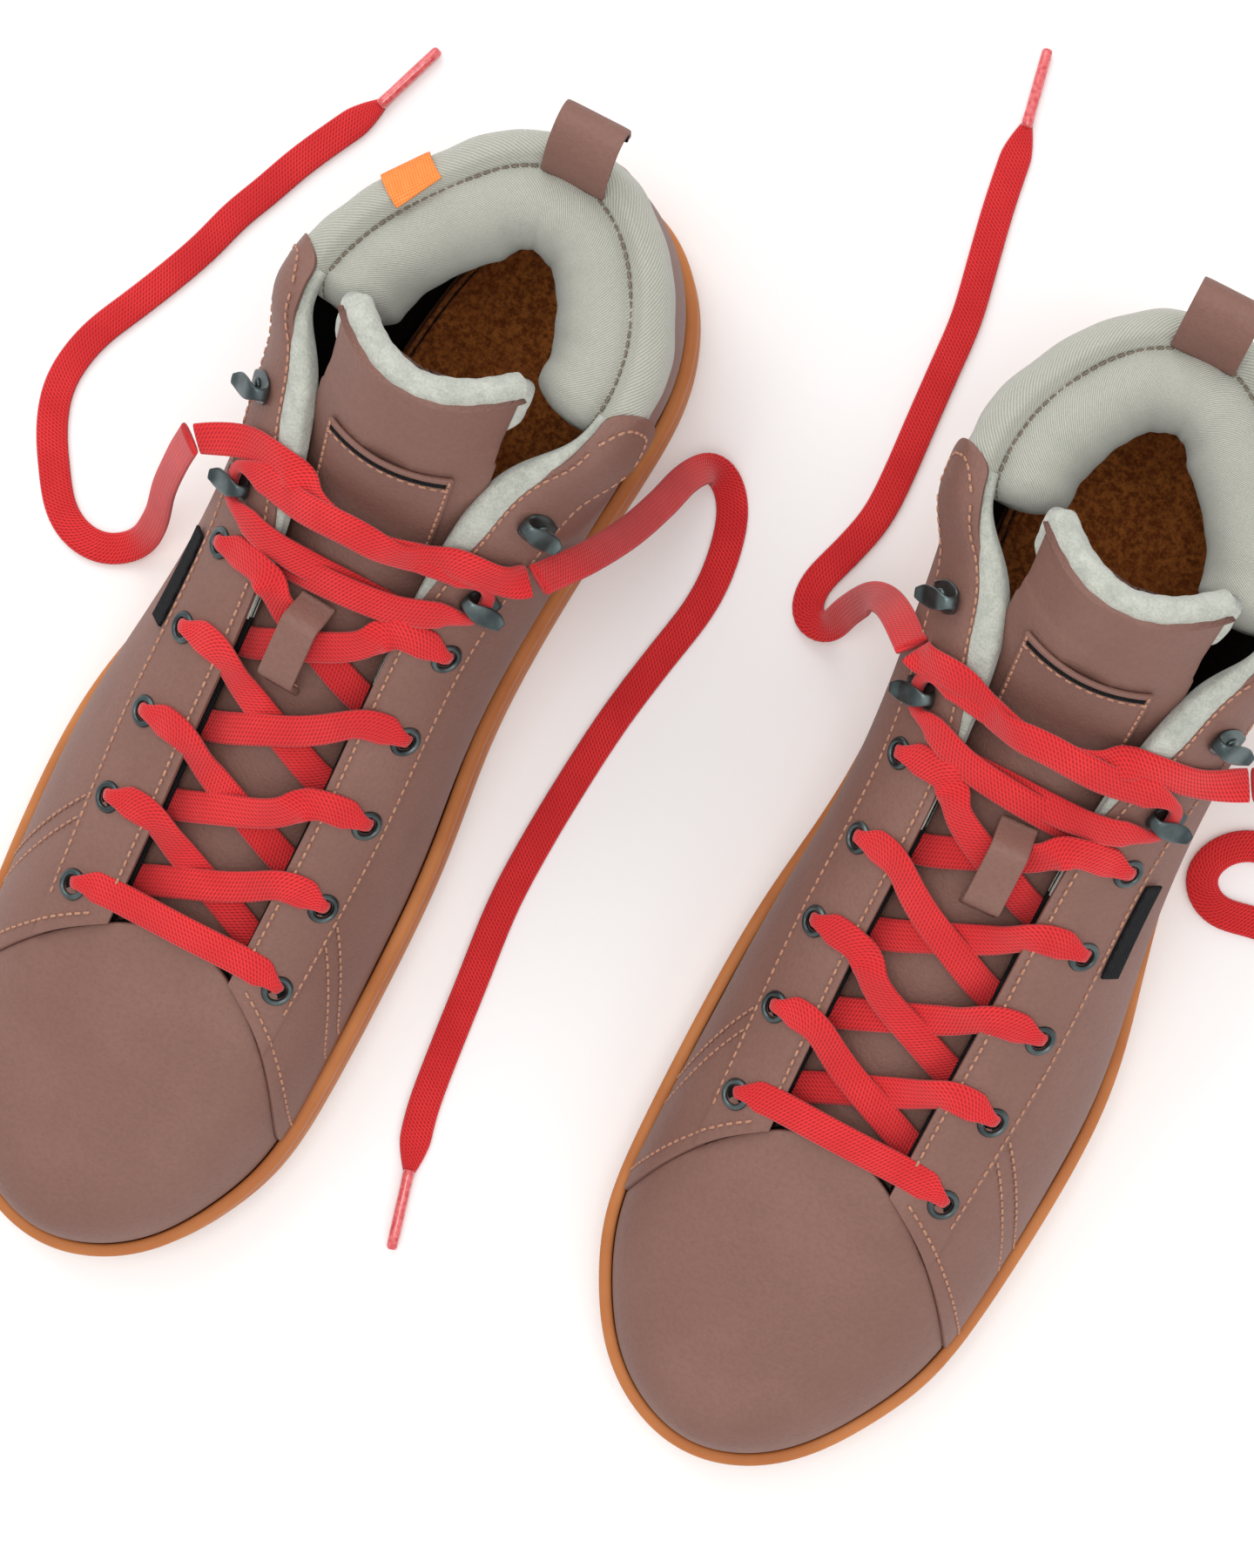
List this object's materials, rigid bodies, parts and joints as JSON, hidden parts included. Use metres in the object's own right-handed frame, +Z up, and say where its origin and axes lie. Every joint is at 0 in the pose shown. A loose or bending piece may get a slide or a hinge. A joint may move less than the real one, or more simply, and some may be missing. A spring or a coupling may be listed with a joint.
{
  "type": "pair of hiking boots",
  "caption": "Mid-height lace-up leather boots with cupped rubber soles, padded felt collars, folding padded tongue tops, heel pull loops and flat laces that trail on the ground.",
  "frame": {"origin": "middle of the box round both boots on the ground, free lace ends left out", "axes": "+Z up, the toes point towards -Y, the left boot is on the +X side"},
  "size_m": [0.3923, 0.3812, 0.1486],
  "materials": {
    "leather": "matt brown leather with a soft fine grain",
    "gum": "smooth gum rubber",
    "felt": "soft grey wool felt",
    "footbed": "smooth dark tan",
    "board": "stiff black board",
    "lace": "flat woven red lace",
    "metal": "gunmetal",
    "webbing": "black woven label",
    "tab": "orange woven tab",
    "aglet": "translucent red plastic"
  },
  "bodies": {
    "boots": {"left_collar": "felt", "left_eyelets_inner": "metal", "left_eyelets_outer": "metal", "left_eyestay_inner": "leather", "left_eyestay_outer": "leather", "left_footbed": "footbed", "left_heel_counter": "board", "left_hook_lower_inner": "metal", "left_hook_lower_outer": "metal", "left_hook_upper_inner": "metal", "left_hook_upper_outer": "metal", "left_inner_aglet": "aglet", "left_inner_lace_end": "lace", "left_insole_board": "board", "left_lace": "lace", "left_lace_keeper": "leather", "left_lining": "felt", "left_outer_aglet": "aglet", "left_outer_lace_end": "lace", "left_outsole": "gum", "left_quarter_inner": "leather", "left_quarter_outer": "leather", "left_side_tag": "webbing", "left_tongue_lower": "leather", "left_tongue_patch": "leather", "left_vamp": "leather", "left_vamp_lining": "felt", "right_collar": "felt", "right_collar_tab": "tab", "right_eyelets_inner": "metal", "right_eyelets_outer": "metal", "right_eyestay_inner": "leather", "right_eyestay_outer": "leather", "right_footbed": "footbed", "right_heel_counter": "board", "right_hook_lower_inner": "metal", "right_hook_lower_outer": "metal", "right_hook_upper_inner": "metal", "right_hook_upper_outer": "metal", "right_inner_aglet": "aglet", "right_inner_lace_end": "lace", "right_insole_board": "board", "right_lace": "lace", "right_lace_keeper": "leather", "right_lining": "felt", "right_outer_aglet": "aglet", "right_outer_lace_end": "lace", "right_outsole": "gum", "right_quarter_inner": "leather", "right_quarter_outer": "leather", "right_side_tag": "webbing", "right_tongue_lower": "leather", "right_tongue_patch": "leather", "right_vamp": "leather", "right_vamp_lining": "felt"},
    "left_tongue": {"left_tongue_top": "leather"},
    "right_tongue": {"right_tongue_top": "leather"},
    "left_loop": {"left_pull_loop": "leather"},
    "right_loop": {"right_pull_loop": "leather"}
  },
  "joints": [
    {"name": "left_tongue_fold", "type": "hinge", "parent": "boots", "child": "left_tongue", "pos_m": [0.08065, 0.0735, 0.129], "axis": [1, 0, 0], "range_deg": [0, 25], "stiffness_Nm_per_rad": 0.1},
    {"name": "right_tongue_fold", "type": "hinge", "parent": "boots", "child": "right_tongue", "pos_m": [-0.08065, 0.0445, 0.129], "axis": [1, 0, 0], "range_deg": [0, 25], "stiffness_Nm_per_rad": 0.1},
    {"name": "left_loop_swing", "type": "hinge", "parent": "boots", "child": "left_loop", "pos_m": [0.07265, 0.147, 0.1329], "axis": [1, 0, 0], "range_deg": [-15, 20], "stiffness_Nm_per_rad": 0.02},
    {"name": "right_loop_swing", "type": "hinge", "parent": "boots", "child": "right_loop", "pos_m": [-0.07265, 0.118, 0.1329], "axis": [1, 0, 0], "range_deg": [-15, 20], "stiffness_Nm_per_rad": 0.02}
  ]
}
